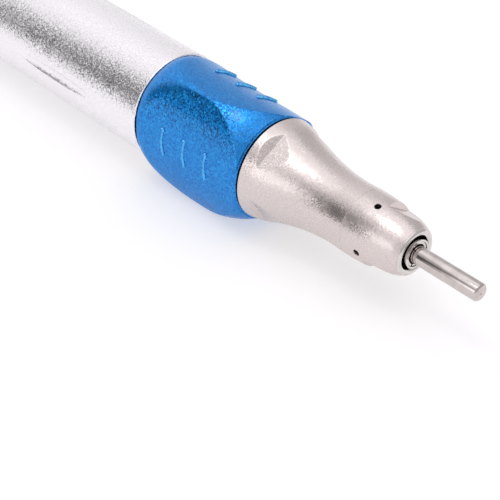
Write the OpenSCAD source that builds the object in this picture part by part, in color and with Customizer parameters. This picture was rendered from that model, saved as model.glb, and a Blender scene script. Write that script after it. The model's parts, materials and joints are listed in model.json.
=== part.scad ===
// Straight nose-cone handpiece with a twist-lock chuck ring.
// +X runs from the motor socket to the tip, +Z is up, millimetres.
// The origin is the centre of the rear face, at the mouth of the motor socket.

/* [Overall] */
// Length from the rear face to the rim of the tip
tip_x = 90; // [86:0.5:94]
// Diameter of the rear grip sleeve
sleeve_d = 15.6; // [15.2:0.1:16.4]
// Free length of the test shank in front of the rim
shank_reach = 10.1; // [8:0.1:14]
// Diameter of the test shank
shank_d = 2.35; // [2.33:0.01:2.35]

/* [Motor socket] */
// Diameter of the motor socket bore
socket_d = 9.5; // [9:0.1:10]
// Distance from the rear face to the retention groove
socket_groove_x = 17.6; // [15:0.1:18]
// Width of the retention groove
socket_groove_w = 1.2; // [0.8:0.1:1.6]

/* [Twist ring] */
// Turn of the ring from locked to open, in degrees
ring_turn = 60; // [30:5:70]
// Travel of the chuck while the ring turns
chuck_travel = 1.2; // [0.6:0.1:1.4]
// Direction of the first facet, in degrees from +Z about +X
facet_turn = 87; // [0:1:119]
// Radius of a facet across the ring
facet_across_r = 17; // [15:0.5:19]
// Height of the raised grip ribs
rib_h = 0.45; // [0.3:0.05:0.7]

/* [Nose] */
// Distance of the spanner flats on the cap from the axis
cap_flat_r = 3.6; // [3.5:0.05:3.75]
// Diameter of the pin spanner holes
spanner_hole_d = 0.8; // [0.6:0.1:1]

/* [Hidden] */
$fn = 96;
ball_fn = 24;
eps = 0.01;

// Colours
blasted_steel = "gainsboro";
polished_steel = "silver";
dark_steel = "slategray";
ring_blue = "royalblue";
bronze = "darkgoldenrod";
seal_black = "dimgray";

// Rear half of the casing
sleeve_r = sleeve_d / 2;
ring_rear_x = tip_x - 43.5;
ring_front_x = tip_x - 24.2;
seam_gap = 0.15;
sleeve_front_x = ring_rear_x - seam_gap;
liner_r = 6.4;
liner_len = 24.5;
socket_r = socket_d / 2;
edge_bevel = 0.4;
seam_bevel = 0.15;
slip = 0.02;

// Flutes on the rear sleeve
flute_count = 3;
flute_centre_x = 28.9;
flute_half_len = 9;
flute_depth = 0.3;
flute_cutter_r = 1.6;
flute_bow_r = (flute_half_len * flute_half_len + flute_depth * flute_depth) / (2 * flute_depth);

// Core tube
core_r = 5.45;
core_thread_r = 5.0;
core_front_x = 68;
collar_bore_r = 4.6;
collar_bore_x = 44;
bearing_nut_r = 4.75;
shoulder_bore_r = 3.9;

// Rear bearing, 5 x 9 x 3
rear_bearing_x = 33;
rear_bearing_size = [2.5, 4.5, 3];
rear_ball = [0.6, 8];
// Front bearing pair, 4 x 7 x 2.5
front_bearing_x = 77;
middle_bearing_x = 71;
front_bearing_size = [2.0, 3.5, 2.5];
front_ball = [0.4, 7];
race_gap = 0.03;

// Ring and cam
ring_bore_r = 6.4;
ring_shoulder_r = 5.9;
ring_shoulder_len = 1.5;
cam_bore_r = 5.5;
cam_rear_x = ring_rear_x + ring_shoulder_len;
cam_front_x = 62.2;
facet_count = 3;
facet_pitch = 360 / facet_count;
rib_count = 3;
rib_pitch = 4.05;
rib_first_x = tip_x - 38.6;
rib_disc_r = 4.25;
rib_w = 0.65;
rib_bow_r = 6.8;
track_x = 59.5;
stop_ball_r = 0.6;
track_r = 5.5;
track_gap = 0.05;
stop_ball_turn = 90;

// Cam pins and the collar that they push
pin_x = 53.5;
pin_r = 0.75;
pin_tip_r = 6.3;
pin_gap = 0.05;
pin_count = 2;
cam_steps = 14;
collar_r = 4.55;
collar_inner_r = 3.75;
collar_rear_x = 46.2;
collar_len = 9.8;
collar_flange = 2;

// Spindle
spindle_r = 2.5;
spindle_front_r = 2.0;
spindle_nose_r = 1.95;
spindle_nose_x = tip_x + 0.2;
spindle_join_x = 42;
spindle_join_end_x = 46;
spindle_join_r = 2.0;
spring_bore_r = 2.1;
spring_bore_x = 69;
collet_bore_r = 1.55;
taper_x = tip_x - 4.5;
taper_mouth_r = 1.69;
shaft_rear_x = 28.2;
shaft_shoulder_r = 2.8;
shaft_shoulder_x = rear_bearing_x + rear_bearing_size[2];
dog_bore_r = 1.8;
dog_bore_end_x = 40;

// Draw tube, collet and thrust pin
thrust_x = 50;
thrust_pin_r = 0.6;
thrust_pin_reach = 3.4;
thrust_ring_r = 3.55;
thrust_ring_len = 3.4;
draw_rear_x = 48.3;
draw_r = 1.5;
draw_bore_r = 1.22;
draw_bore_x = 55.4;
collet_rear_x = 72;
collet_front_x = tip_x + 0.1;
collet_bore = 1.19;
collet_mouth_r = 1.36;
collet_slots = 3;
collet_slot_w = 0.25;
collet_slot_len = 12;
seat_x = 55;
seat_len = 1;

// Drive dog
dog_rear_x = 20.8;
dog_head_r = 2.4;
dog_head_len = 6.2;
dog_stem_r = 1.75;
dog_stem_end_x = 33;
dog_fork_gap = 1.6;
dog_fork_depth = 3.5;
dog_pin_x = 30;
dog_pin_r = 0.5;
dog_travel = 1;

// Springs: mean radius, wire radius, turns, start and end along the axis
chuck_spring_size = [1.8, 0.2, 9, seat_x + seat_len, spring_bore_x];
dog_spring_size = [1.3, 0.2, 6, dog_stem_end_x, dog_bore_end_x];
wire_sides = 6;
rings_per_turn = 12;

// Nose
nose_step_x = tip_x - 8.4;
skirt_rear_x = 62.9;
skirt_r = 6.1;
cap_spigot_r = 3.9;
cap_spigot_len = 2;
cap_bore_r = 2.7;
rim_seat_x = tip_x - 3;
rim_seat_r = 2.9;
rim_lip_x = tip_x - 0.3;
rim_r = 3.1;
rim_bore_r = 2.25;
rim_round = 0.42;
spanner_x = tip_x - 5.7;
spanner_turn = 12;
spanner_depth = 1.3;
cap_flat_turn = -34;
cap_flat_x = tip_x - 4.9;
wrench_count = 4;
wrench_turn = 31;
wrench_valley_x = tip_x - 22;
wrench_valley_r = 5.97;
wrench_tilt = 6;
wrench_rise = 40;
wrench_half_w = 6;

// Outlines as [x, radius] pairs, from rear to front
nose_outline = [
    [ring_front_x + seam_gap, 7.02], [tip_x - 22, 6.58], [tip_x - 20, 5.9], [tip_x - 17, 5.1],
    [tip_x - 14.5, 4.66], [tip_x - 11.6, 4.42], [nose_step_x, 4.49]
];
cap_outline = [
    [nose_step_x, 4.49], [tip_x - 6.2, 4.42], [tip_x - 4.2, 4.22], [tip_x - 2.4, 3.86],
    [tip_x - 1, 3.46], [rim_lip_x, 3.14]
];
barrel_outline = [
    [ring_rear_x, 7.8], [ring_rear_x + 1.3, 8.6], [ring_rear_x + 3.2, 9.25],
    [ring_rear_x + 5.9, 9.7], [ring_rear_x + 8.6, 9.85], [ring_rear_x + 11.1, 9.78],
    [ring_rear_x + 13.5, 9.45], [ring_rear_x + 15.6, 8.95], [ring_rear_x + 17.6, 8.2],
    [ring_front_x, 7.5]
];
facet_outline = [
    [ring_rear_x - 1, 7.85], [ring_rear_x + 3.5, 7.48], [ring_rear_x + 7.5, 7.3],
    [ring_rear_x + 11.5, 7.17], [ring_rear_x + 15, 7.13], [ring_front_x + 1, 7.02]
];

// A smooth curve through the points of an outline, with the given steps between two points
function slope_at(p, i) =
    let (a = max(i - 1, 0), b = min(i + 1, len(p) - 1))
    (p[b][1] - p[a][1]) / (p[b][0] - p[a][0]);
function hermite(a, b, ma, mb, t) =
    let (w = b[0] - a[0], s = t * t * (3 - 2 * t))
    [a[0] + w * t, a[1] * (1 - s) + b[1] * s + w * (ma * t * (1 - t) * (1 - t) - mb * t * t * (1 - t))];
function smooth(p, steps) = concat(
    [for (i = [0 : len(p) - 2]) for (k = [0 : steps - 1])
        hermite(p[i], p[i + 1], slope_at(p, i), slope_at(p, i + 1), k / steps)],
    [p[len(p) - 1]]
);
function shifted(p, by) = [for (q = p) [q[0], q[1] + by]];

// Points are [x, radius], turned about the X axis
module turned(points) {
    rotate([0, 90, 0])
    rotate_extrude()
    polygon([for (p = points) [p[1], p[0]]]);
}

module rod(x0, x1, r) {
    translate([x0, 0, 0])
    rotate([0, 90, 0])
    cylinder(h = x1 - x0, r = r);
}

module tube(x0, x1, outer, inner) {
    difference() {
        rod(x0, x1, outer);
        rod(x0 - eps, x1 + eps, inner);
    }
}

// A solid between an outline and a bore
module shell(outline, bore_r) {
    first = outline[0][0];
    last = outline[len(outline) - 1][0];
    turned(concat([[first, bore_r]], outline, [[last, bore_r]]));
}

// A pin standing out from the axis at an angle about X
module radial_pin(x, angle, r, from, to) {
    rotate([angle, 0, 0])
    translate([x, 0, from])
    cylinder(h = to - from, r = r);
}

module torus(x, mean_r, wire_r) {
    translate([x, 0, 0])
    rotate([0, 90, 0])
    rotate_extrude()
    translate([mean_r, 0])
    circle(r = wire_r, $fn = ball_fn);
}

// A closed coil of round wire, swept along the X axis
module coil(size) {
    mean_r = size[0];
    wire_r = size[1];
    turns = size[2];
    first = size[3] + wire_r;
    last = size[4] - wire_r;
    count = turns * rings_per_turn;
    points = [
        for (i = [0 : count])
        let (a = 360 * i / rings_per_turn, x = first + (last - first) * i / count)
        for (k = [0 : wire_sides - 1])
        let (w = 360 * k / wire_sides, r = mean_r + wire_r * cos(w))
        [x + wire_r * sin(w), -r * sin(a), r * cos(a)]
    ];
    sides = [
        for (i = [0 : count - 1]) for (k = [0 : wire_sides - 1])
        let (n = (k + 1) % wire_sides, a = i * wire_sides)
        [a + k, a + wire_sides + k, a + wire_sides + n, a + n]
    ];
    start = [for (k = [0 : wire_sides - 1]) k];
    end = [for (k = [wire_sides - 1 : -1 : 0]) count * wire_sides + k];
    polyhedron(points = points, faces = concat(sides, [start], [end]));
}

// Ball bearing pieces; size is [bore radius, outer radius, width], ball is [radius, count]
function ball_track(size) = (size[0] + size[1]) / 2;

module outer_race(x, size, ball) {
    track = ball_track(size);
    difference() {
        tube(x, x + size[2], size[1], track + ball[0] * 0.75);
        torus(x + size[2] / 2, track, ball[0] + race_gap);
    }
}

module inner_race(x, size, ball) {
    track = ball_track(size);
    difference() {
        tube(x, x + size[2], track - ball[0] * 0.75, size[0]);
        torus(x + size[2] / 2, track, ball[0] + race_gap);
    }
}

module bearing_balls(x, size, ball) {
    for (i = [0 : ball[1] - 1])
    rotate([i * 360 / ball[1], 0, 0])
    translate([x + size[2] / 2, 0, ball_track(size)])
    sphere(r = ball[0], $fn = ball_fn);
}

module bearing_cage(x, size, ball) {
    track = ball_track(size);
    middle = x + size[2] / 2;
    pocket_r = ball[0] + race_gap;
    difference() {
        tube(middle - ball[0] * 1.5, middle + ball[0] * 1.5, track + ball[0] * 0.35, track - ball[0] * 0.35);
        for (i = [0 : ball[1] - 1])
        radial_pin(middle, i * 360 / ball[1], pocket_r, size[0], size[1]);
    }
}

// Casing

module flute() {
    translate([flute_centre_x, 0, sleeve_r - flute_depth + flute_bow_r])
    rotate([90, 0, 0])
    rotate_extrude($fn = 180)
    translate([flute_bow_r - flute_cutter_r, 0])
    circle(r = flute_cutter_r, $fn = 36);
}

module rear_sleeve() {
    color(blasted_steel)
    difference() {
        turned([
            [0, liner_r], [0, sleeve_r - edge_bevel], [edge_bevel, sleeve_r],
            [sleeve_front_x - seam_bevel, sleeve_r], [sleeve_front_x, sleeve_r - seam_bevel],
            [sleeve_front_x, liner_r]
        ]);
        for (i = [0 : flute_count - 1])
        rotate([facet_turn + i * facet_pitch, 0, 0])
        flute();
    }
}

module motor_socket_liner() {
    color(polished_steel)
    difference() {
        tube(0, liner_len, liner_r - slip, socket_r);
        rod(socket_groove_x, socket_groove_x + socket_groove_w, socket_r + 0.5);
    }
}

module core_tube() {
    color(polished_steel)
    difference() {
        union() {
            rod(liner_len, ring_rear_x - 0.7, liner_r - slip);
            rod(liner_len, skirt_rear_x, core_r);
            rod(liner_len, core_front_x, core_thread_r);
        }
        rod(liner_len - eps, rear_bearing_x, bearing_nut_r);
        rod(rear_bearing_x - eps, shaft_shoulder_x, rear_bearing_size[1]);
        rod(rear_bearing_x, core_front_x, shoulder_bore_r);
        rod(collar_bore_x, core_front_x + eps, collar_bore_r);
        torus(ring_rear_x + 0.75, 5.5, 0.33);
        tube(cam_front_x + 0.1, cam_front_x + 0.6, core_r + 1, 5.1);
        cam_pin_slots();
        radial_pin(track_x, stop_ball_turn, stop_ball_r + track_gap, 4.85, 7);
    }
}

module cam_pin_slots() {
    slot_r = pin_r + pin_gap;
    for (i = [0 : pin_count - 1])
    rotate([i * 180, 0, 0])
    translate([pin_x, -slot_r, 0])
    cube([chuck_travel, 2 * slot_r, 8]);
    for (i = [0 : pin_count - 1]) for (travel = [0, chuck_travel])
    radial_pin(pin_x + travel, i * 180, slot_r, 0, 8);
}

module nose_wrench_flat() {
    front = 5;
    back = 4;
    outline = [
        [0, 0], [front, -front * tan(wrench_tilt)], [front, 4], [-back, 4], [-back, back * tan(wrench_rise)]
    ];
    translate([wrench_valley_x, wrench_half_w, wrench_valley_r])
    rotate([90, 0, 0])
    linear_extrude(height = 2 * wrench_half_w)
    polygon(outline);
}

module nose_housing() {
    color("lightgray")
    difference() {
        union() {
            shell(smooth(nose_outline, 4), 2.9);
            rod(skirt_rear_x, ring_front_x + 0.5, skirt_r);
        }
        rod(skirt_rear_x - eps, core_front_x + 0.2, core_thread_r);
        rod(core_front_x, middle_bearing_x, 3.2);
        rod(middle_bearing_x, nose_step_x + eps, front_bearing_size[1]);
        rod(nose_step_x - cap_spigot_len, nose_step_x + eps, cap_spigot_r);
        torus(64.3, 5.98, 0.38);
        for (i = [0 : wrench_count - 1])
        rotate([wrench_turn + i * 90, 0, 0])
        nose_wrench_flat();
    }
}

module cap_flat() {
    translate([cap_flat_x, -5, cap_flat_r])
    cube([6, 10, 3]);
}

module nose_cap() {
    color("lightgray")
    difference() {
        union() {
            shell(smooth(cap_outline, 4), cap_bore_r);
            tube(nose_step_x - cap_spigot_len, nose_step_x + eps, cap_spigot_r, cap_bore_r);
        }
        rod(rim_seat_x, tip_x, rim_seat_r);
        for (i = [0 : 3])
        radial_pin(spanner_x, spanner_turn + i * 90, spanner_hole_d / 2, 4.4 - spanner_depth, 6);
        for (i = [0, 1])
        rotate([cap_flat_turn + i * 180, 0, 0])
        cap_flat();
    }
}

module tip_ring() {
    steps = 8;
    middle_r = (rim_r + rim_bore_r) / 2;
    first = asin((rim_lip_x - tip_x + rim_round) / rim_round);
    nose = [for (i = [0 : steps]) let (a = first + (180 - first) * i / steps)
        [tip_x - rim_round * (1 - sin(a)), middle_r + (rim_r - middle_r) * cos(a)]];
    color(polished_steel)
    turned(concat(
        [[rim_seat_x, rim_bore_r], [rim_seat_x, rim_seat_r], [rim_lip_x, rim_seat_r]],
        nose
    ));
}

// Bearings

module front_bearing_outer_ring() {
    color(polished_steel)
    outer_race(front_bearing_x, front_bearing_size, front_ball);
}

module front_bearing_inner_ring() {
    color(polished_steel)
    inner_race(front_bearing_x, front_bearing_size, front_ball);
}

module front_bearing_balls() {
    color(dark_steel)
    bearing_balls(front_bearing_x, front_bearing_size, front_ball);
}

module front_bearing_cage() {
    color(bronze)
    bearing_cage(front_bearing_x, front_bearing_size, front_ball);
}

module middle_bearing_outer_ring() {
    color(polished_steel)
    outer_race(middle_bearing_x, front_bearing_size, front_ball);
}

module middle_bearing_inner_ring() {
    color(polished_steel)
    inner_race(middle_bearing_x, front_bearing_size, front_ball);
}

module middle_bearing_balls() {
    color(dark_steel)
    bearing_balls(middle_bearing_x, front_bearing_size, front_ball);
}

module middle_bearing_cage() {
    color(bronze)
    bearing_cage(middle_bearing_x, front_bearing_size, front_ball);
}

module rear_bearing_outer_ring() {
    color(polished_steel)
    outer_race(rear_bearing_x, rear_bearing_size, rear_ball);
}

module rear_bearing_inner_ring() {
    color(polished_steel)
    inner_race(rear_bearing_x, rear_bearing_size, rear_ball);
}

module rear_bearing_balls() {
    color(dark_steel)
    bearing_balls(rear_bearing_x, rear_bearing_size, rear_ball);
}

module rear_bearing_cage() {
    color(bronze)
    bearing_cage(rear_bearing_x, rear_bearing_size, rear_ball);
}

module outer_spacer() {
    color(polished_steel)
    tube(middle_bearing_x + front_bearing_size[2], front_bearing_x - 0.4, front_bearing_size[1], 3.1);
}

module preload_washer() {
    color(dark_steel)
    tube(front_bearing_x - 0.4, front_bearing_x, front_bearing_size[1], 3.1);
}

module inner_spacer() {
    color(polished_steel)
    tube(middle_bearing_x + front_bearing_size[2], front_bearing_x, 2.45, spindle_front_r);
}

module bearing_nut() {
    color(dark_steel)
    difference() {
        tube(rear_bearing_x - 2.4, rear_bearing_x, bearing_nut_r, 3.9);
        for (angle = [0, 90])
        rotate([angle, 0, 0])
        translate([rear_bearing_x - 2.5, -0.5, -6])
        cube([1, 1, 12]);
    }
}

// Seals and stops

module front_o_ring() {
    color(seal_black)
    torus(64.3, 5.98, 0.35);
}

module rear_o_ring() {
    color(seal_black)
    torus(ring_rear_x + 0.75, 5.5, 0.3);
}

module ring_clip() {
    color(dark_steel)
    difference() {
        tube(cam_front_x + 0.1, cam_front_x + 0.6, 6, 5.1);
        translate([cam_front_x, -0.8, -7])
        cube([1, 1.6, 7]);
    }
}

module stop_ball() {
    color(dark_steel)
    rotate([stop_ball_turn, 0, 0])
    translate([track_x, 0, track_r])
    sphere(r = stop_ball_r, $fn = ball_fn);
}

// Twist ring

module facet_body() {
    offset_r = facet_across_r - facet_outline[2][1];
    translate([0, 0, -offset_r])
    turned(concat(
        [[facet_outline[0][0], 0]],
        shifted(facet_outline, offset_r),
        [[facet_outline[len(facet_outline) - 1][0], 0]]
    ));
}

// Each rib is a slice of a disc, cut to a bow that bulges to the rear
module grip_ribs() {
    for (k = [0 : rib_count - 1])
    translate([rib_first_x + k * rib_pitch, 0, 7.4 - 0.1 * k + rib_h - rib_disc_r])
    intersection() {
        translate([-2, 0, 0])
        rotate([0, 90, 0])
        cylinder(h = 4, r = rib_disc_r);
        translate([rib_bow_r, 0, 0])
        difference() {
            cylinder(h = rib_disc_r + 1, r = rib_bow_r + rib_w / 2);
            translate([0, 0, -eps])
            cylinder(h = rib_disc_r + 2, r = rib_bow_r - rib_w / 2);
        }
    }
}

module chuck_ring() {
    color(ring_blue)
    difference() {
        union() {
            intersection() {
                shell(barrel_outline, ring_shoulder_r);
                rotate([facet_turn, 0, 0])
                facet_body();
                rotate([facet_turn + facet_pitch, 0, 0])
                facet_body();
                rotate([facet_turn + 2 * facet_pitch, 0, 0])
                facet_body();
            }
            for (i = [0 : facet_count - 1])
            rotate([facet_turn + i * facet_pitch, 0, 0])
            grip_ribs();
        }
        rod(ring_rear_x - 1, ring_front_x + 1, ring_shoulder_r);
        rod(cam_rear_x, ring_front_x + 1, ring_bore_r);
    }
}

module cam_sleeve() {
    color(bronze)
    difference() {
        tube(cam_rear_x, cam_front_x, ring_bore_r, cam_bore_r);
        for (i = [0 : pin_count - 1])
        rotate([i * 180, 0, 0])
        cam_slot();
        stop_track();
    }
}

// A helical slot that a pin follows; it runs past both ends of the pin's travel
module cam_slot() {
    inner = cam_bore_r - 0.5;
    outer = ring_bore_r + 0.5;
    half_w = pin_r + 2 * pin_gap;
    over = asin(half_w / cam_bore_r);
    first = -ring_turn - over;
    sweep = ring_turn + 2 * over;
    points = [
        for (k = [0 : cam_steps])
        let (a = first + sweep * k / cam_steps, x = pin_x - chuck_travel * a / ring_turn)
        for (corner = [[-half_w, inner], [half_w, inner], [half_w, outer], [-half_w, outer]])
        [x + corner[0], -corner[1] * sin(a), corner[1] * cos(a)]
    ];
    sides = [
        for (k = [0 : cam_steps - 1]) for (c = [0 : 3])
        [4 * k + c, 4 * k + 4 + c, 4 * k + 4 + (c + 1) % 4, 4 * k + (c + 1) % 4]
    ];
    last = 4 * cam_steps;
    polyhedron(
        points = points,
        faces = concat(sides, [[0, 1, 2, 3]], [[last + 3, last + 2, last + 1, last]])
    );
}

// The track that the stop ball runs in; its ends stop the ring
module stop_track() {
    half_w = stop_ball_r + track_gap;
    over = asin(half_w / track_r);
    rotate([stop_ball_turn, 0, 0])
    rotate([0, 90, 0])
    rotate([0, 0, 180 - ring_turn - over])
    rotate_extrude(angle = ring_turn + 2 * over)
    translate([cam_bore_r - 0.5, track_x - half_w])
    square([track_r + half_w - cam_bore_r + 0.5, 2 * half_w]);
}

module shift_collar() {
    color(polished_steel)
    difference() {
        tube(collar_rear_x, collar_rear_x + collar_len, collar_r, collar_inner_r);
        for (i = [0 : pin_count - 1])
        radial_pin(pin_x, i * 180, pin_r, 0, 8);
    }
    color(polished_steel)
    tube(collar_rear_x, collar_rear_x + collar_flange, collar_inner_r + 0.2, spindle_r + 0.15);
}

module cam_pins() {
    color(dark_steel)
    for (i = [0 : pin_count - 1])
    radial_pin(pin_x, i * 180, pin_r, collar_inner_r + 0.1, pin_tip_r);
}

// Spindle

module spindle_tube() {
    slot_r = thrust_pin_r + pin_gap;
    color(polished_steel)
    difference() {
        union() {
            rod(spindle_join_x, middle_bearing_x, spindle_r);
            rod(middle_bearing_x - eps, tip_x - 9, spindle_front_r);
            rod(tip_x - 9 - eps, spindle_nose_x, spindle_nose_r);
        }
        rod(spindle_join_x - eps, spindle_join_end_x, spindle_join_r);
        rod(spindle_join_end_x - eps, spring_bore_x, spring_bore_r);
        rod(spring_bore_x - eps, taper_x + eps, collet_bore_r);
        turned([
            [taper_x, 0], [taper_x, collet_bore_r], [spindle_nose_x, taper_mouth_r],
            [spindle_nose_x + 1, taper_mouth_r], [spindle_nose_x + 1, 0]
        ]);
        translate([thrust_x, -4, -slot_r])
        cube([chuck_travel, 8, 2 * slot_r]);
        for (travel = [0, chuck_travel])
        translate([thrust_x + travel, 4, 0])
        rotate([90, 0, 0])
        cylinder(h = 8, r = slot_r);
    }
}

module drive_shaft() {
    color(polished_steel)
    difference() {
        union() {
            rod(shaft_rear_x, shaft_shoulder_x, spindle_r);
            rod(shaft_shoulder_x, spindle_join_x, shaft_shoulder_r);
            rod(spindle_join_x - eps, spindle_join_end_x, spindle_join_r);
        }
        rod(shaft_rear_x - eps, dog_bore_end_x, dog_bore_r);
        translate([dog_pin_x, 4, 0])
        rotate([90, 0, 0])
        cylinder(h = 8, r = dog_pin_r);
    }
}

module spindle_nut() {
    color(dark_steel)
    tube(front_bearing_x + front_bearing_size[2], tip_x - 9.2, 2.5, spindle_front_r);
}

module spindle_rear_nut() {
    color(dark_steel)
    tube(rear_bearing_x - 1.6, rear_bearing_x, 3.2, spindle_r);
}

module dust_slinger() {
    color(polished_steel)
    tube(tip_x - 4.4, tip_x - 3.8, 2.5, spindle_nose_r);
}

module dog_pin() {
    color(dark_steel)
    translate([dog_pin_x, spindle_r, 0])
    rotate([90, 0, 0])
    cylinder(h = 2 * spindle_r, r = dog_pin_r);
}

module dog_spring() {
    color(dark_steel)
    coil(dog_spring_size);
}

module chuck_spring() {
    color(dark_steel)
    coil(chuck_spring_size);
}

module drive_dog() {
    slot_r = dog_pin_r + pin_gap;
    color(dark_steel)
    difference() {
        union() {
            rod(dog_rear_x, dog_rear_x + dog_head_len, dog_head_r);
            rod(dog_rear_x + dog_head_len - eps, dog_stem_end_x, dog_stem_r);
        }
        translate([dog_rear_x - eps, -dog_fork_gap / 2, -4])
        cube([dog_fork_depth, dog_fork_gap, 8]);
        translate([dog_pin_x - dog_travel, -4, -slot_r])
        cube([dog_travel, 8, 2 * slot_r]);
        for (travel = [0, dog_travel])
        translate([dog_pin_x - travel, 4, 0])
        rotate([90, 0, 0])
        cylinder(h = 8, r = slot_r);
    }
}

// Chuck

module collet() {
    color(polished_steel)
    difference() {
        turned([
            [collet_rear_x, collet_bore], [collet_rear_x, draw_r], [taper_x, draw_r],
            [collet_front_x, taper_mouth_r - 0.06], [collet_front_x, collet_mouth_r],
            [collet_front_x - 1, collet_mouth_r], [collet_front_x - 1.2, collet_bore]
        ]);
        for (i = [0 : collet_slots - 1])
        rotate([i * 120 + 30, 0, 0])
        translate([collet_front_x - collet_slot_len, -collet_slot_w / 2, 0])
        cube([collet_slot_len + 1, collet_slot_w, 4]);
    }
}

module draw_tube() {
    color(polished_steel)
    difference() {
        rod(draw_rear_x, collet_rear_x, draw_r);
        rod(draw_bore_x, collet_rear_x + eps, draw_bore_r);
        translate([thrust_x, 4, 0])
        rotate([90, 0, 0])
        cylinder(h = 8, r = thrust_pin_r);
    }
}

module thrust_ring() {
    half = thrust_ring_len / 2;
    color(dark_steel)
    difference() {
        tube(thrust_x - half, thrust_x + half, thrust_ring_r, spindle_r + pin_gap);
        translate([thrust_x, 4, 0])
        rotate([90, 0, 0])
        cylinder(h = 8, r = thrust_pin_r);
    }
}

module thrust_pin() {
    color(dark_steel)
    translate([thrust_x, thrust_pin_reach, 0])
    rotate([90, 0, 0])
    cylinder(h = 2 * thrust_pin_reach, r = thrust_pin_r);
}

module spring_seat() {
    color(dark_steel)
    tube(seat_x, seat_x + seat_len, spring_bore_r - pin_gap, draw_r);
}

// The part inside the chuck tapers slightly to the rear, so that it enters the collet easily
module test_shank() {
    shank_r = shank_d / 2;
    front = tip_x + shank_reach;
    rear = draw_bore_x + 0.2;
    bevel = 0.22;
    color(polished_steel)
    difference() {
        turned([
            [rear, 0], [rear, shank_r - bevel], [rear + bevel, shank_r - 0.01],
            [tip_x + 0.3, shank_r], [front - bevel, shank_r], [front, shank_r - bevel], [front, 0]
        ]);
        rod(front - 0.12, front + 1, 0.22);
    }
}

rear_sleeve();
motor_socket_liner();
core_tube();
nose_housing();
nose_cap();
tip_ring();
front_bearing_outer_ring();
middle_bearing_outer_ring();
rear_bearing_outer_ring();
outer_spacer();
preload_washer();
bearing_nut();
front_o_ring();
rear_o_ring();
ring_clip();
stop_ball();
chuck_ring();
cam_sleeve();
shift_collar();
cam_pins();
spindle_tube();
drive_shaft();
front_bearing_inner_ring();
middle_bearing_inner_ring();
rear_bearing_inner_ring();
inner_spacer();
spindle_nut();
spindle_rear_nut();
dust_slinger();
dog_pin();
dog_spring();
chuck_spring();
drive_dog();
collet();
draw_tube();
thrust_ring();
thrust_pin();
spring_seat();
test_shank();
front_bearing_balls();
front_bearing_cage();
middle_bearing_balls();
middle_bearing_cage();
rear_bearing_balls();
rear_bearing_cage();
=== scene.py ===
"""Straight dental handpiece: fine outer skins and materials round the CAD frame, on a plain floor."""
import json
import math

import bpy
import numpy as np
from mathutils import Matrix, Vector


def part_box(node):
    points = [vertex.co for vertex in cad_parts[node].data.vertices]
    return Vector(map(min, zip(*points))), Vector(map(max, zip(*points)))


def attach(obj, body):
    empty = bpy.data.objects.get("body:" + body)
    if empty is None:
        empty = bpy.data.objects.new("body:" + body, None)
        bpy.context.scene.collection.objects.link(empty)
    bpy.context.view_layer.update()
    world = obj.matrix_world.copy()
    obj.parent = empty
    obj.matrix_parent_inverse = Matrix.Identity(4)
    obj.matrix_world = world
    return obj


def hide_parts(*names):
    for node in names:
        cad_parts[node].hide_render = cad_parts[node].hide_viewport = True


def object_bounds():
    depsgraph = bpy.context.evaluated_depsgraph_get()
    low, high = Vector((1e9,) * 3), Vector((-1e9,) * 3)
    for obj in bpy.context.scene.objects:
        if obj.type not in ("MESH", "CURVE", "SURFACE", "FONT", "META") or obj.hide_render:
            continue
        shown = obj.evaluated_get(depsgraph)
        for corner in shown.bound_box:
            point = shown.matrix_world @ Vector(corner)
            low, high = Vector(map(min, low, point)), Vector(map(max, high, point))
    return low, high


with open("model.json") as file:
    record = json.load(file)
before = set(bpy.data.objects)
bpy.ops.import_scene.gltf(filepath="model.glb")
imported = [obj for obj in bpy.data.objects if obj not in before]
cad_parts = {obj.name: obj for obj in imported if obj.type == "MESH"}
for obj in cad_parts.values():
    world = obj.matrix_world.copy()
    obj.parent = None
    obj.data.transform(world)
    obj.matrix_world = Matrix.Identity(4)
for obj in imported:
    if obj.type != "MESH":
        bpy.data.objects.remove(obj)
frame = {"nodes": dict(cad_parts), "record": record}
cad_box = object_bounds()

MM = 0.001
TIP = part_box("tip_ring")[1][0] / MM
RING_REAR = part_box("chuck_ring")[0][0] / MM
RING_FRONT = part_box("chuck_ring")[1][0] / MM
CAP_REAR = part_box("nose_cap")[0][0] / MM + 2.0
SLEEVE_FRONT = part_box("rear_sleeve")[1][0] / MM
SLEEVE_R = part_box("rear_sleeve")[1][1] / MM
SHANK_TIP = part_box("test_shank")[1][0] / MM
SHANK_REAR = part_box("test_shank")[0][0] / MM
SEAM = RING_REAR - SLEEVE_FRONT

# Angles are measured about +X, from +Z towards -Y
FACET_TURN = math.radians(87)
FACET_PITCH = math.radians(120)
FACET_COUNT = 3
FACET_ACROSS = 17.0
FACET_MIDDLE = 7.3
RIB_COUNT = 3
RIB_FIRST = TIP - 38.6
RIB_PITCH = 4.05
RIB_HEIGHT = 0.3
RIB_HALF_LENGTH = 2.15
RIB_HALF_WIDTH = 0.30
RIB_FLANK = 0.16
RIB_BOW = 6.8
RIB_SEAT_R = 7.5
END_RECESS = 0.09
EDGE_ROUND = 0.16
EDGE_SLOPE = 1.5
FLUTE_X = 28.9
FLUTE_HALF_LENGTH = 9.0
FLUTE_DEPTH = 0.34
FLUTE_ROUND = 1.6
WRENCH_TURN = math.radians(31)
WRENCH_COUNT = 4
WRENCH_X = TIP - 22
WRENCH_R = 5.97
WRENCH_REACH = 5
WRENCH_TILT = math.tan(math.radians(6))
WRENCH_RISE = math.tan(math.radians(40))
SPANNER_TURN = math.radians(12)
SPANNER_COUNT = 4
SPANNER_X = TIP - 5.7
SPANNER_R = 0.4
SPANNER_DEPTH = 1.28
SPANNER_SEAT_R = 4.4
SEAM_EDGE_R = 4.44
CAP_FLAT_TURN = math.radians(-34)
CAP_FLAT_R = 3.6
CAP_FLAT_X = TIP - 4.9
CAP_FLAT_RISE = 2.4
RIM_LIP = TIP - 0.3

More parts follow.
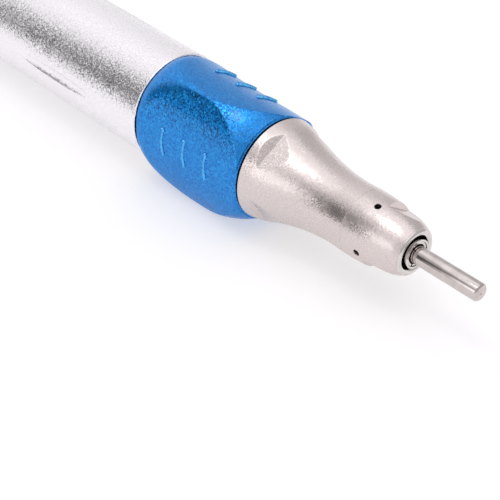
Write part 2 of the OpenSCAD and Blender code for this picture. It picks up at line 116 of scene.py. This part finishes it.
# Outlines as [x, radius] in millimetres, rear to front
BARREL = [
    (RING_REAR, 7.8), (RING_REAR + 1.5, 8.65), (RING_REAR + 3.2, 9.2), (RING_REAR + 5.9, 9.66),
    (RING_REAR + 8.6, 9.82), (RING_REAR + 11.1, 9.75), (RING_REAR + 13.5, 9.43),
    (RING_REAR + 15.6, 8.93), (RING_REAR + 17.6, 8.15), (RING_FRONT, 7.16),
]
FACET = [
    (RING_REAR, 7.74), (RING_REAR + 3.5, 7.46), (RING_REAR + 7.5, 7.28), (RING_REAR + 11.5, 7.15),
    (RING_REAR + 15, 7.12), (RING_FRONT, 7.03),
]
RIDGE_SOFTNESS = [
    (RING_REAR, 0.9), (RING_REAR + 6, 0.55), (RING_REAR + 12, 0.16), (RING_FRONT, 0.05),
]
NOSE = [
    (RING_FRONT + SEAM, 7.02), (TIP - 22, 6.58), (TIP - 20, 5.9), (TIP - 17, 5.1),
    (TIP - 14.5, 4.66), (TIP - 11.6, 4.42), (CAP_REAR, 4.49),
]
CAP = [
    (CAP_REAR, 4.49), (TIP - 6.2, 4.42), (TIP - 4.2, 4.22), (TIP - 2.4, 3.86), (TIP - 1, 3.46),
    (RIM_LIP, 3.14),
]

# The studio tent, as directions in the row frame: bright behind and overhead, dim in front, with a
# dark upright gap, a grey beam above it and a bright window beside it
DIM_TOWARDS = (0.866, 0.5, 0.0)
DIM_LEVEL = 0.62
TOP_LEVEL = 1.3
GAP_FOOT = (-0.656, -0.755, 0.0)
GAP_SIDE = (0.755, -0.656, 0.0)
GAP_LEVEL = 0.12
BEAM_TOWARDS = (-0.57, -0.82, 0.0)
BEAM_SLOPE = (0.5, 0.0, 1.0)
BEAM_HEIGHT = 0.54
BEAM_LEVEL = 0.68
WINDOW_TOWARDS = (-0.04, -0.924, 0.38)
WINDOW_LEVEL = 1.7


# Shape helpers

def curve(points, x):
    """A smooth curve through the points, at each x."""
    px = np.array([p[0] for p in points])
    py = np.array([p[1] for p in points])
    slope = np.gradient(py, px)
    i = np.clip(np.searchsorted(px, x) - 1, 0, len(px) - 2)
    width = px[i + 1] - px[i]
    t = np.clip((x - px[i]) / width, 0, 1)
    blend = t * t * (3 - 2 * t)
    bend = slope[i] * t * (1 - t) ** 2 - slope[i + 1] * t * t * (1 - t)
    return py[i] * (1 - blend) + py[i + 1] * blend + width * bend


def soft_min(a, b, width):
    """The smaller of two heights, rounded over the given width where they meet."""
    h = np.clip(0.5 + 0.5 * (b - a) / width, 0, 1)
    return b * (1 - h) + a * h - width * h * (1 - h)


def rounded_end(x, end, radius, corner):
    """The height limit that rounds an edge at one end of a turned body."""
    reach = np.clip(corner - np.abs(end - x), 0, corner)
    return np.where(reach > 0, radius - corner + np.sqrt(corner ** 2 - reach ** 2), 99.0)


def turn_from(angle, centre):
    """The signed angle from a direction, between -pi and pi."""
    return (angle - centre + math.pi) % (2 * math.pi) - math.pi


def stations(first, last, step, extra=()):
    """Evenly spaced x positions, with some exact ones added."""
    even = np.linspace(first, last, int(round((last - first) / step)) + 1)
    return np.unique(np.round(np.concatenate([even, np.array(extra)]), 5))


def ring_loop(x, radius, angle):
    """The points of one loop round the X axis, in metres."""
    x = np.broadcast_to(x, angle.shape)
    return np.stack([x, -radius * np.sin(angle), radius * np.cos(angle)], axis=1) * MM


def skin(name, node, body, material, xs, height, inside, count, sharp=40):
    """A closed solid: a height field over x and angle outside, and a turned outline inside."""
    angle = np.linspace(0, 2 * math.pi, count, endpoint=False)
    loops = [ring_loop(x, height(np.full(count, x), angle), angle) for x in xs]
    loops += [ring_loop(x, np.full(count, r), angle) for x, r in inside]
    return loops_to_piece(name, node, body, material, loops, count, sharp)


def loops_to_piece(name, node, body, material, loops, count, sharp):
    """Joins loops of points, the last back to the first, into a closed piece on its body."""
    rows = len(loops)
    grid = np.arange(rows * count).reshape(rows, count)
    below = np.roll(grid, -1, axis=0)
    faces = np.stack([grid, below, np.roll(below, -1, axis=1), np.roll(grid, -1, axis=1)], axis=-1)
    mesh = bpy.data.meshes.new(name)
    mesh.from_pydata(np.concatenate(loops).tolist(), [], faces.reshape(-1, 4).tolist())
    mesh.validate()
    piece = bpy.data.objects.new(name, mesh)
    bpy.context.scene.collection.objects.link(piece)
    face_outwards(mesh)
    mesh.shade_smooth()
    mesh.set_sharp_from_angle(angle=math.radians(sharp))
    mesh.materials.append(material)
    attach(piece, body)
    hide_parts(node)
    return piece


def face_outwards(mesh):
    """Flips every face if the closed mesh holds a negative volume."""
    volume = 0.0
    for face in mesh.polygons:
        a, b, c = (mesh.vertices[i].co for i in face.vertices[:3])
        volume += a.dot(b.cross(c))
        if len(face.vertices) == 4:
            d = mesh.vertices[face.vertices[3]].co
            volume += a.dot(c.cross(d))
    if volume < 0:
        mesh.flip_normals()


def arc(x, r, radius, start, end, steps=8):
    """Points on a round corner, angles in degrees from +x towards +r."""
    turn = np.radians(np.linspace(start, end, steps))
    return [(x + radius * math.cos(t), r + radius * math.sin(t)) for t in turn]


def lathe(name, node, body, material, outline, count, sharp=40):
    """A closed outline of (x, radius) points turned about the X axis."""
    angle = np.linspace(0, 2 * math.pi, count, endpoint=False)
    loops = [ring_loop(x, np.full(count, r), angle) for x, r in outline]
    return loops_to_piece(name, node, body, material, loops, count, sharp)


# Materials

def new_material(name):
    """A new material with its node tree and shader."""
    material = bpy.data.materials.new(name)
    material.use_nodes = True
    tree = material.node_tree
    return material, tree, tree.nodes["Principled BSDF"]


def add(tree, kind, **values):
    """A node with some of its settings and inputs set."""
    node = tree.nodes.new(kind)
    for key, value in values.items():
        if hasattr(node, key):
            setattr(node, key, value)
        else:
            node.inputs[key.replace("_", " ")].default_value = value
    return node


def object_position(tree):
    """Object coordinates, in metres, so that patterns ride with their piece."""
    return add(tree, "ShaderNodeTexCoord").outputs["Object"]


def noise(tree, size_mm, detail=2.0, stretch=(1, 1, 1)):
    """Noise whose features are about size_mm across."""
    mapping = add(tree, "ShaderNodeMapping")
    mapping.inputs["Scale"].default_value = stretch
    tree.links.new(object_position(tree), mapping.inputs["Vector"])
    texture = add(tree, "ShaderNodeTexNoise", Scale=1 / (size_mm * MM), Detail=detail)
    tree.links.new(mapping.outputs["Vector"], texture.inputs["Vector"])
    return texture.outputs["Fac"]


def spread(tree, value, low, high, source=(0.3, 0.7)):
    """Maps a noise value on to a range."""
    node = add(tree, "ShaderNodeMapRange")
    node.inputs["From Min"].default_value = source[0]
    node.inputs["From Max"].default_value = source[1]
    node.inputs["To Min"].default_value = low
    node.inputs["To Max"].default_value = high
    tree.links.new(value, node.inputs["Value"])
    return node.outputs["Result"]


def tint(tree, value, dark, light):
    """A colour between two, by a value from 0 to 1."""
    node = tree.nodes.new("ShaderNodeMix")
    node.data_type = "RGBA"
    node.inputs[6].default_value = (*dark, 1)
    node.inputs[7].default_value = (*light, 1)
    tree.links.new(value, node.inputs[0])
    return node.outputs[2]


def bump(tree, height, depth_mm, strength, normal=None):
    """The normal of a surface raised by a height of up to depth_mm."""
    node = add(tree, "ShaderNodeBump", Distance=depth_mm * MM, Strength=strength)
    tree.links.new(height, node.inputs["Height"])
    if normal is not None:
        tree.links.new(normal, node.inputs["Normal"])
    return node.outputs["Normal"]


def glitter_normal(tree, size_mm, amount):
    """The surface normal tipped at random in small cells, as in blasted or flaked metal."""
    cells = add(tree, "ShaderNodeTexVoronoi", Scale=1 / (size_mm * MM))
    tree.links.new(object_position(tree), cells.inputs["Vector"])
    centred = add(tree, "ShaderNodeVectorMath", operation="SUBTRACT")
    centred.inputs[1].default_value = (0.5, 0.5, 0.5)
    tree.links.new(cells.outputs["Color"], centred.inputs[0])
    scaled = add(tree, "ShaderNodeVectorMath", operation="SCALE")
    scaled.inputs["Scale"].default_value = amount
    tree.links.new(centred.outputs[0], scaled.inputs[0])
    total = add(tree, "ShaderNodeVectorMath", operation="ADD")
    tree.links.new(add(tree, "ShaderNodeNewGeometry").outputs["Normal"], total.inputs[0])
    tree.links.new(scaled.outputs[0], total.inputs[1])
    unit = add(tree, "ShaderNodeVectorMath", operation="NORMALIZE")
    tree.links.new(total.outputs[0], unit.inputs[0])
    return unit.outputs[0]


def blasted_metal(name, dark, light, roughness, cell_mm, tip):
    """Bead-blasted steel: fine random facets, cloudy tone and a soft roughness change."""
    material, tree, shader = new_material(name)
    shader.inputs["Metallic"].default_value = 1.0
    cloud = noise(tree, 2.5, 3)
    grain = noise(tree, cell_mm * 1.3, 2)
    tree.links.new(tint(tree, spread(tree, grain, 0, 1), dark, light), shader.inputs["Base Color"])
    tree.links.new(spread(tree, cloud, roughness - 0.04, roughness + 0.05), shader.inputs["Roughness"])
    normal = glitter_normal(tree, cell_mm, tip)
    tree.links.new(bump(tree, grain, 0.01, 0.35, normal), shader.inputs["Normal"])
    return material


def turned_metal(name, dark, light, roughness, pitch_mm, line_strength):
    """Turned or ground metal: fine lines round the X axis and faint smears."""
    material, tree, shader = new_material(name)
    shader.inputs["Metallic"].default_value = 1.0
    lines = noise(tree, pitch_mm, 1, (1, 0.02, 0.02))
    cloud = noise(tree, 1.2, 3)
    tree.links.new(tint(tree, spread(tree, cloud, 0, 1), dark, light), shader.inputs["Base Color"])
    tree.links.new(spread(tree, cloud, roughness - 0.02, roughness + 0.03), shader.inputs["Roughness"])
    tree.links.new(bump(tree, lines, 0.002, line_strength), shader.inputs["Normal"])
    return material


def anodised_metal(name, dark, light, roughness):
    """Blue metallic finish: flakes that tip at random under a thin satin coat."""
    material, tree, shader = new_material(name)
    shader.inputs["Metallic"].default_value = 1.0
    flakes = add(tree, "ShaderNodeTexVoronoi", Scale=1 / (0.17 * MM))
    tree.links.new(object_position(tree), flakes.inputs["Vector"])
    split = add(tree, "ShaderNodeSeparateColor")
    tree.links.new(flakes.outputs["Color"], split.inputs[0])
    colour = tint(tree, spread(tree, split.outputs[0], 0, 1, (0.1, 1.0)), dark, light)
    tree.links.new(colour, shader.inputs["Base Color"])
    cloud = noise(tree, 2.0, 3)
    tree.links.new(spread(tree, cloud, roughness - 0.03, roughness + 0.04), shader.inputs["Roughness"])
    tree.links.new(glitter_normal(tree, 0.17, 0.34), shader.inputs["Normal"])
    shader.inputs["Specular Tint"].default_value = (0.35, 0.62, 0.85, 1)
    shader.inputs["Coat Weight"].default_value = 0.5
    shader.inputs["Coat Roughness"].default_value = 0.15
    shader.inputs["Coat IOR"].default_value = 1.5
    return material


def rubber(name, dark, light):
    """A matt dark skin with a fine grain."""
    material, tree, shader = new_material(name)
    cloud = noise(tree, 0.4, 4)
    tree.links.new(tint(tree, spread(tree, cloud, 0, 1), dark, light), shader.inputs["Base Color"])
    tree.links.new(spread(tree, cloud, 0.5, 0.7), shader.inputs["Roughness"])
    tree.links.new(bump(tree, noise(tree, 0.08, 2), 0.01, 0.4), shader.inputs["Normal"])
    return material


FINISHES = {
    "blasted_steel": (blasted_metal, (0.78, 0.76, 0.79), (0.94, 0.92, 0.95), 0.23, 0.12, 0.26),
    "nose_steel": (blasted_metal, (0.59, 0.53, 0.51), (0.74, 0.665, 0.65), 0.27, 0.10, 0.15),
    "polished_steel": (turned_metal, (0.60, 0.57, 0.55), (0.72, 0.69, 0.67), 0.08, 0.05, 0.12),
    "shank_steel": (turned_metal, (0.52, 0.47, 0.45), (0.64, 0.59, 0.57), 0.06, 0.05, 0.08),
    "inner_steel": (turned_metal, (0.50, 0.50, 0.51), (0.68, 0.68, 0.69), 0.26, 0.08, 0.25),
    "dark_steel": (turned_metal, (0.24, 0.25, 0.27), (0.40, 0.41, 0.43), 0.30, 0.08, 0.25),
    "ring_blue": (anodised_metal, (0.004, 0.15, 0.52), (0.018, 0.31, 0.76), 0.26),
    # Paler blue for the rib flanks: a painted highlight along the rib edges
    "ring_edge": (anodised_metal, (0.07, 0.40, 0.80), (0.14, 0.54, 0.92), 0.3),
    "bronze": (turned_metal, (0.45, 0.30, 0.14), (0.62, 0.45, 0.24), 0.28, 0.08, 0.25),
    # Near-black for the spanner holes: painted shade inside the deep holes
    "hole_dark": (rubber, (0.004, 0.004, 0.004), (0.012, 0.012, 0.012)),
    "seal_rubber": (rubber, (0.015, 0.015, 0.015), (0.05, 0.05, 0.05)),
}
MATERIALS = {name: finish(name, *values) for name, (finish, *values) in FINISHES.items()}


# Outer skins

def facet_height(x, angle, index):
    """Radius of one broad facet, a shallow arc about an axis set behind the centre."""
    middle = curve(FACET, x)
    back = FACET_ACROSS - FACET_MIDDLE
    delta = turn_from(angle, FACET_TURN + index * FACET_PITCH)
    reach = back + middle
    inside = np.maximum(reach ** 2 - (back * np.sin(delta)) ** 2, 0)
    return -back * np.cos(delta) + np.sqrt(inside)


def rib_rise(x, angle):
    """Height of the raised grip ribs above the facets: narrow plateaus, bowed to the rear."""
    rise = np.zeros_like(x)
    for i in range(FACET_COUNT):
        across = turn_from(angle, FACET_TURN + i * FACET_PITCH) * RIB_SEAT_R
        arch = np.clip(1 - (across / RIB_HALF_LENGTH) ** 2, 0, 1)
        half_width = RIB_HALF_WIDTH * np.sqrt(np.clip(arch * 3, 0, 1))
        crest = RIB_HEIGHT * np.clip(arch * 6, 0, 1)
        for k in range(RIB_COUNT):
            middle = RIB_FIRST + k * RIB_PITCH + across ** 2 / (2 * RIB_BOW)
            flank = np.clip((half_width - np.abs(x - middle)) / RIB_FLANK + 0.5, 0, 1)
            rise = np.maximum(rise, crest * flank * flank * (3 - 2 * flank))
    return rise


def ring_height(x, angle):
    """Radius of the twist ring: a barrel cut by three facets, with soft corners at the rear."""
    softness = curve(RIDGE_SOFTNESS, x)
    radius = curve(BARREL, x)
    for i in range(FACET_COUNT):
        radius = soft_min(radius, facet_height(x, angle, i), softness)
    radius = radius + rib_rise(x, angle)
    rear_edge = rounded_end(x, RING_REAR + END_RECESS, 7.76, EDGE_ROUND)
    front_edge = rounded_end(x, RING_FRONT - END_RECESS, 7.1, EDGE_ROUND)
    return np.minimum(np.minimum(radius, rear_edge), front_edge)


def nose_height(x, angle):
    """Radius of the nose, with four wrench flats cut at its base."""
    radius = curve(NOSE, x)
    for i in range(WRENCH_COUNT):
        delta = turn_from(angle, WRENCH_TURN + i * 2 * math.pi / WRENCH_COUNT)
        ahead = x - WRENCH_X
        floor = np.where(ahead > 0, WRENCH_R - ahead * WRENCH_TILT, WRENCH_R - ahead * WRENCH_RISE)
        cut = np.where(np.abs(delta) < 1.2, floor / np.cos(np.clip(delta, -1.2, 1.2)), 99.0)
        radius = np.where(ahead < WRENCH_REACH, soft_min(radius, cut, 0.03), radius)
    edge = NOSE[0][1] - 0.12 + (x - NOSE[0][0]) * EDGE_SLOPE
    seam_edge = SEAM_EDGE_R + (CAP_REAR - x) * EDGE_SLOPE
    return np.minimum(np.minimum(radius, edge), seam_edge)


def cap_height(x, angle):
    """Radius of the screwed cap, with two flats and four pin-spanner holes."""
    radius = curve(CAP, x)
    for i in range(2):
        delta = turn_from(angle, CAP_FLAT_TURN + i * math.pi)
        flat = np.where(np.abs(delta) < 1.2, CAP_FLAT_R / np.cos(np.clip(delta, -1.2, 1.2)), 99.0)
        shoulder = CAP_FLAT_R + np.maximum(CAP_FLAT_X - x, 0) * CAP_FLAT_RISE
        wall = np.where(np.abs(delta) < 1.2, shoulder / np.cos(np.clip(delta, -1.2, 1.2)), 99.0)
        radius = np.minimum(radius, np.where(x > CAP_FLAT_X, flat, wall))
    for i in range(SPANNER_COUNT):
        across = turn_from(angle, SPANNER_TURN + i * 2 * math.pi / SPANNER_COUNT) * SPANNER_SEAT_R
        away = np.hypot(x - SPANNER_X, across)
        sink = np.clip((SPANNER_R - away) / 0.05 + 0.5, 0, 1)
        radius = radius - SPANNER_DEPTH * sink
    return np.minimum(radius, SEAM_EDGE_R + (x - CAP_REAR) * EDGE_SLOPE)


def sleeve_height(x, angle):
    """Radius of the rear sleeve, with three shallow almond flutes."""
    radius = np.full_like(x, SLEEVE_R - 0.005)
    bow = (FLUTE_HALF_LENGTH ** 2 + FLUTE_DEPTH ** 2) / (2 * FLUTE_DEPTH)
    along = np.clip(x - FLUTE_X, -FLUTE_HALF_LENGTH * 1.2, FLUTE_HALF_LENGTH * 1.2)
    for i in range(FACET_COUNT):
        delta = turn_from(angle, FACET_TURN + i * FACET_PITCH)
        across = SLEEVE_R * np.sin(delta)
        near = (np.abs(across) < FLUTE_ROUND) & (np.abs(delta) < 1)
        side = FLUTE_ROUND - np.sqrt(np.maximum(FLUTE_ROUND ** 2 - across ** 2, 0))
        lift = bow - np.sqrt(bow ** 2 - along ** 2)
        cut = (SLEEVE_R - FLUTE_DEPTH + lift + side) / np.cos(np.clip(delta, -1, 1))
        radius = np.where(near, np.minimum(radius, cut), radius)
    rear = SLEEVE_R - 0.4 + x
    front = rounded_end(x, SLEEVE_FRONT, SLEEVE_R - 0.005, 0.2)
    return np.minimum(np.minimum(radius, rear), front)


def paint_rib_edge_highlight(mesh):
    """Gives the flanks of the grip ribs a paler blue: a painted highlight along the rib edges."""
    mesh.materials.append(MATERIALS["ring_edge"])
    centres = np.array([face.center for face in mesh.polygons]) / MM
    x, y, z = centres.T
    rise = rib_rise(x, np.arctan2(-y, z)) / RIB_HEIGHT
    for index in np.flatnonzero((rise > 0.08) & (rise < 0.9)):
        mesh.polygons[index].material_index = 1


def paint_hole_shade(mesh):
    """Paints the walls and floors of the spanner holes near-black: painted shade standing in for the
    shade inside the deep holes.
    """
    mesh.materials.append(MATERIALS["hole_dark"])
    floor_r = SPANNER_SEAT_R - SPANNER_DEPTH - 0.1
    wall_top_r = SPANNER_SEAT_R - 0.18
    for face in mesh.polygons:
        x, y, z = face.center / MM
        radius = math.hypot(y, z)
        near = abs(x - SPANNER_X) < SPANNER_R + 0.05
        if near and floor_r < radius < wall_top_r:
            face.material_index = 1


def build_ring_skin():
    """The twist ring, with the shoulder inside its rear end."""
    ends = (RING_REAR + END_RECESS, RING_FRONT - END_RECESS)
    steps = (0.01, 0.03, 0.06, 0.1, 0.16)
    edges = [ends[0] + e for e in steps] + [ends[1] - e for e in steps]
    shoulder = RING_REAR + 1.5
    ring = skin(
        "chuck_ring_skin", "chuck_ring", "twist_ring", MATERIALS["ring_blue"],
        stations(ends[0], ends[1], 0.06, edges), ring_height,
        [(ends[1], 6.4), (shoulder, 6.4), (shoulder, 5.9), (ends[0], 5.9)], 640,
    )
    # Painted highlight on the flanks of the grip ribs
    paint_rib_edge_highlight(ring.data)


def build_nose_skin():
    """The nose, with the bores of the CAD housing inside."""
    rear = NOSE[0][0]
    skin(
        "nose_housing_skin", "nose_housing", "housing", MATERIALS["nose_steel"],
        stations(rear, CAP_REAR, 0.08, [rear + 0.03, WRENCH_X, CAP_REAR - 0.03, CAP_REAR - 0.06]),
        nose_height,
        [
            (CAP_REAR, 3.92), (CAP_REAR - 2, 3.92), (CAP_REAR - 2, 3.52), (71, 3.52), (71, 3.2),
            (68.2, 3.2), (68.2, 5.02), (62.9, 5.02), (62.9, 6.1), (63.9, 6.1), (63.9, 5.62),
            (64.7, 5.62), (64.7, 6.1), (rear, 6.1),
        ],
        600, 30,
    )


def build_cap_skin():
    """The screwed cap, hollow for the rim and the front bearing."""
    cap = skin(
        "nose_cap_skin", "nose_cap", "housing", MATERIALS["nose_steel"],
        stations(CAP_REAR, RIM_LIP, 0.06, [CAP_REAR + 0.03, CAP_REAR + 0.06, CAP_FLAT_X]),
        cap_height,
        [
            (RIM_LIP, 2.92), (TIP - 3, 2.92), (TIP - 3, 2.7), (CAP_REAR - 2, 2.7),
            (CAP_REAR - 2, 3.88), (CAP_REAR, 3.88),
        ],
        560, 30,
    )
    # Painted shade on the walls and floors of the spanner holes
    paint_hole_shade(cap.data)


def build_sleeve_skin():
    """The rear sleeve, in short steps only where the flutes and the front edge need them."""
    flute_ends = (FLUTE_X - FLUTE_HALF_LENGTH, FLUTE_X + FLUTE_HALF_LENGTH)
    front_edge = [SLEEVE_FRONT - e for e in (0.01, 0.03, 0.06, 0.1, 0.15, 0.2, 0.25)]
    skin(
        "rear_sleeve_skin", "rear_sleeve", "housing", MATERIALS["blasted_steel"],
        np.concatenate([
            stations(0, flute_ends[0] - 0.5, 1.0, [0.2, 0.4, 0.45]),
            stations(flute_ends[0], flute_ends[1], 0.25),
            stations(flute_ends[1] + 0.5, SLEEVE_FRONT, 1.0, front_edge),
        ]),
        sleeve_height, [(SLEEVE_FRONT, 6.42), (0, 6.42)], 480,
    )


def build_turned_pieces():
    """The bullnose rim and the bevelled shank."""
    corner = 0.42
    bore = 2.25
    middle = bore + corner
    first = math.degrees(math.acos((RIM_LIP - TIP + corner) / corner))
    lathe(
        "tip_ring_turned", "tip_ring", "housing", MATERIALS["polished_steel"],
        [(TIP - 3, bore), (TIP - 3, 2.89), (RIM_LIP, 2.89)]
        + arc(TIP - corner, middle, corner, first, -90, 20),
        160,
    )
    shank = 2.35 / 2
    bevel = 0.22
    lathe(
        "test_shank_turned", "test_shank", "shank", MATERIALS["shank_steel"],
        [
            (SHANK_REAR, 0.004), (SHANK_REAR, shank - bevel), (SHANK_REAR + bevel, shank - 0.01),
            (TIP + 0.3, shank), (SHANK_TIP - bevel - 0.04, shank), (SHANK_TIP - bevel, shank - 0.01),
            (SHANK_TIP - 0.01, shank - bevel + 0.01), (SHANK_TIP, shank - bevel - 0.03),
            (SHANK_TIP, 0.22), (SHANK_TIP - 0.1, 0.12), (SHANK_TIP - 0.12, 0.004),
        ],
        128,
    )


def paint_cad_nodes():
    """Gives every CAD node the material of its slot in the record."""
    slots = {row["node"]: row["material_slot"] for row in frame["record"]["subparts"]}
    for name, node in frame["nodes"].items():
        node.data.materials.clear()
        node.data.materials.append(MATERIALS[slots[name]])
        node.data.shade_smooth()
        node.data.set_sharp_from_angle(angle=math.radians(35))


# Stage

def build_floor():
    """A plain pale table under the object."""
    bpy.ops.mesh.primitive_plane_add(size=6, location=(0, 0, cad_box[0][2]))
    floor = bpy.context.object
    floor.name = "floor"
    material, tree, shader = new_material("floor")
    shader.inputs["Base Color"].default_value = (0.56, 0.555, 0.56, 1)
    shader.inputs["Emission Color"].default_value = (1.0, 0.99, 1.0, 1)
    shader.inputs["Emission Strength"].default_value = 0.49
    shader.inputs["Roughness"].default_value = 0.8
    shader.inputs["Specular IOR Level"].default_value = 0.1
    floor.data.materials.append(material)


def area_light(name, offset, size, power):
    """A square soft light at an offset from the ring, aimed at it."""
    centre = Vector(((RING_REAR + RING_FRONT) / 2 * MM, 0, 0))
    light = bpy.data.lights.new(name, "AREA")
    light.size = size
    light.energy = power
    lamp = bpy.data.objects.new(name, light)
    lamp.location = centre + Vector(offset)
    lamp.rotation_euler = (-Vector(offset)).to_track_quat("-Z", "Y").to_euler()
    bpy.context.scene.collection.objects.link(lamp)


def smooth_step(tree, value, start, end, low, high):
    """Eases from low to high while the value goes from start to end."""
    node = add(tree, "ShaderNodeMapRange", interpolation_type="SMOOTHSTEP")
    node.inputs["From Min"].default_value = start
    node.inputs["From Max"].default_value = end
    node.inputs["To Min"].default_value = low
    node.inputs["To Max"].default_value = high
    tree.links.new(value, node.inputs["Value"])
    return node.outputs["Result"]


def along(tree, direction, towards):
    """The dot product of a direction with a fixed one."""
    node = add(tree, "ShaderNodeVectorMath", operation="DOT_PRODUCT")
    node.inputs[1].default_value = towards
    tree.links.new(direction, node.inputs[0])
    return node.outputs["Value"]


def calculate(tree, operation, a, b):
    """A sum, product or the like of two values."""
    node = add(tree, "ShaderNodeMath", operation=operation)
    tree.links.new(a, node.inputs[0])
    tree.links.new(b, node.inputs[1])
    return node.outputs[0]


def mix_values(tree, factor, a, b):
    """a where the factor is 0 and b where it is 1."""
    node = tree.nodes.new("ShaderNodeMix")
    node.inputs[3].default_value = b
    tree.links.new(factor, node.inputs[0])
    tree.links.new(a, node.inputs[2])
    return node.outputs[0]


def build_world():
    """A white tent round the table: bright behind and overhead, dim in front, with one dark gap."""
    world = bpy.data.worlds.new("studio")
    bpy.context.scene.world = world
    world.use_nodes = True
    tree = world.node_tree
    direction = add(tree, "ShaderNodeTexCoord").outputs["Generated"]
    split = add(tree, "ShaderNodeSeparateXYZ")
    tree.links.new(direction, split.inputs[0])
    height = split.outputs["Z"]
    walls = smooth_step(tree, along(tree, direction, DIM_TOWARDS), -0.6, 0.4, 1.05, DIM_LEVEL)
    side = add(tree, "ShaderNodeMath", operation="ABSOLUTE")
    tree.links.new(along(tree, direction, GAP_SIDE), side.inputs[0])
    gap = calculate(
        tree, "MULTIPLY", smooth_step(tree, side.outputs[0], 0.16, 0.38, 1, 0),
        smooth_step(tree, along(tree, direction, GAP_FOOT), 0.1, 0.35, 0, 1),
    )
    gap = calculate(tree, "MULTIPLY", gap, smooth_step(tree, height, 0.5, 0.8, 1, 0))
    lift = add(tree, "ShaderNodeMath", operation="SUBTRACT")
    lift.inputs[1].default_value = BEAM_HEIGHT
    tree.links.new(along(tree, direction, BEAM_SLOPE), lift.inputs[0])
    away = add(tree, "ShaderNodeMath", operation="ABSOLUTE")
    tree.links.new(lift.outputs[0], away.inputs[0])
    beam = calculate(
        tree, "MULTIPLY", smooth_step(tree, away.outputs[0], 0.06, 0.14, 1, 0),
        smooth_step(tree, along(tree, direction, BEAM_TOWARDS), 0.35, 0.5, 0, 1),
    )
    window = smooth_step(tree, along(tree, direction, WINDOW_TOWARDS), 0.93, 0.985, 1.0, WINDOW_LEVEL)
    bright = mix_values(tree, smooth_step(tree, height, 0.7, 0.9, 0, 1), walls, TOP_LEVEL)
    total = calculate(tree, "MULTIPLY", bright, window)
    total = calculate(tree, "MULTIPLY", total, spread(tree, gap, 1.0, GAP_LEVEL, (0.0, 1.0)))
    total = calculate(tree, "MULTIPLY", total, spread(tree, beam, 1.0, BEAM_LEVEL, (0.0, 1.0)))
    background = tree.nodes["Background"]
    background.inputs["Color"].default_value = (1.0, 0.985, 1.0, 1)
    tree.links.new(total, background.inputs["Strength"])


def build_camera():
    """The photograph's view: from ahead of the tip, above and to the -Y side."""
    tip = Vector((TIP * MM, 0, 0))
    place = tip + Vector((0.09065, -0.10925, 0.10916))
    forward = Vector((-0.585, 0.533, -0.6115))
    lens = bpy.data.cameras.new("camera")
    lens.lens = 108
    lens.sensor_width = 36
    lens.clip_start = 0.005
    camera = bpy.data.objects.new("camera", lens)
    camera.location = place
    camera.rotation_euler = forward.to_track_quat("-Z", "Y").to_euler()
    bpy.context.scene.collection.objects.link(camera)
    bpy.context.scene.camera = camera


build_camera()
paint_cad_nodes()
build_ring_skin()
build_nose_skin()
build_cap_skin()
build_sleeve_skin()
build_turned_pieces()
build_floor()
build_world()
area_light("overhead", (-0.025, -0.09, 0.49), 0.12, 0.18)
bpy.context.scene.view_settings.view_transform = "Standard"
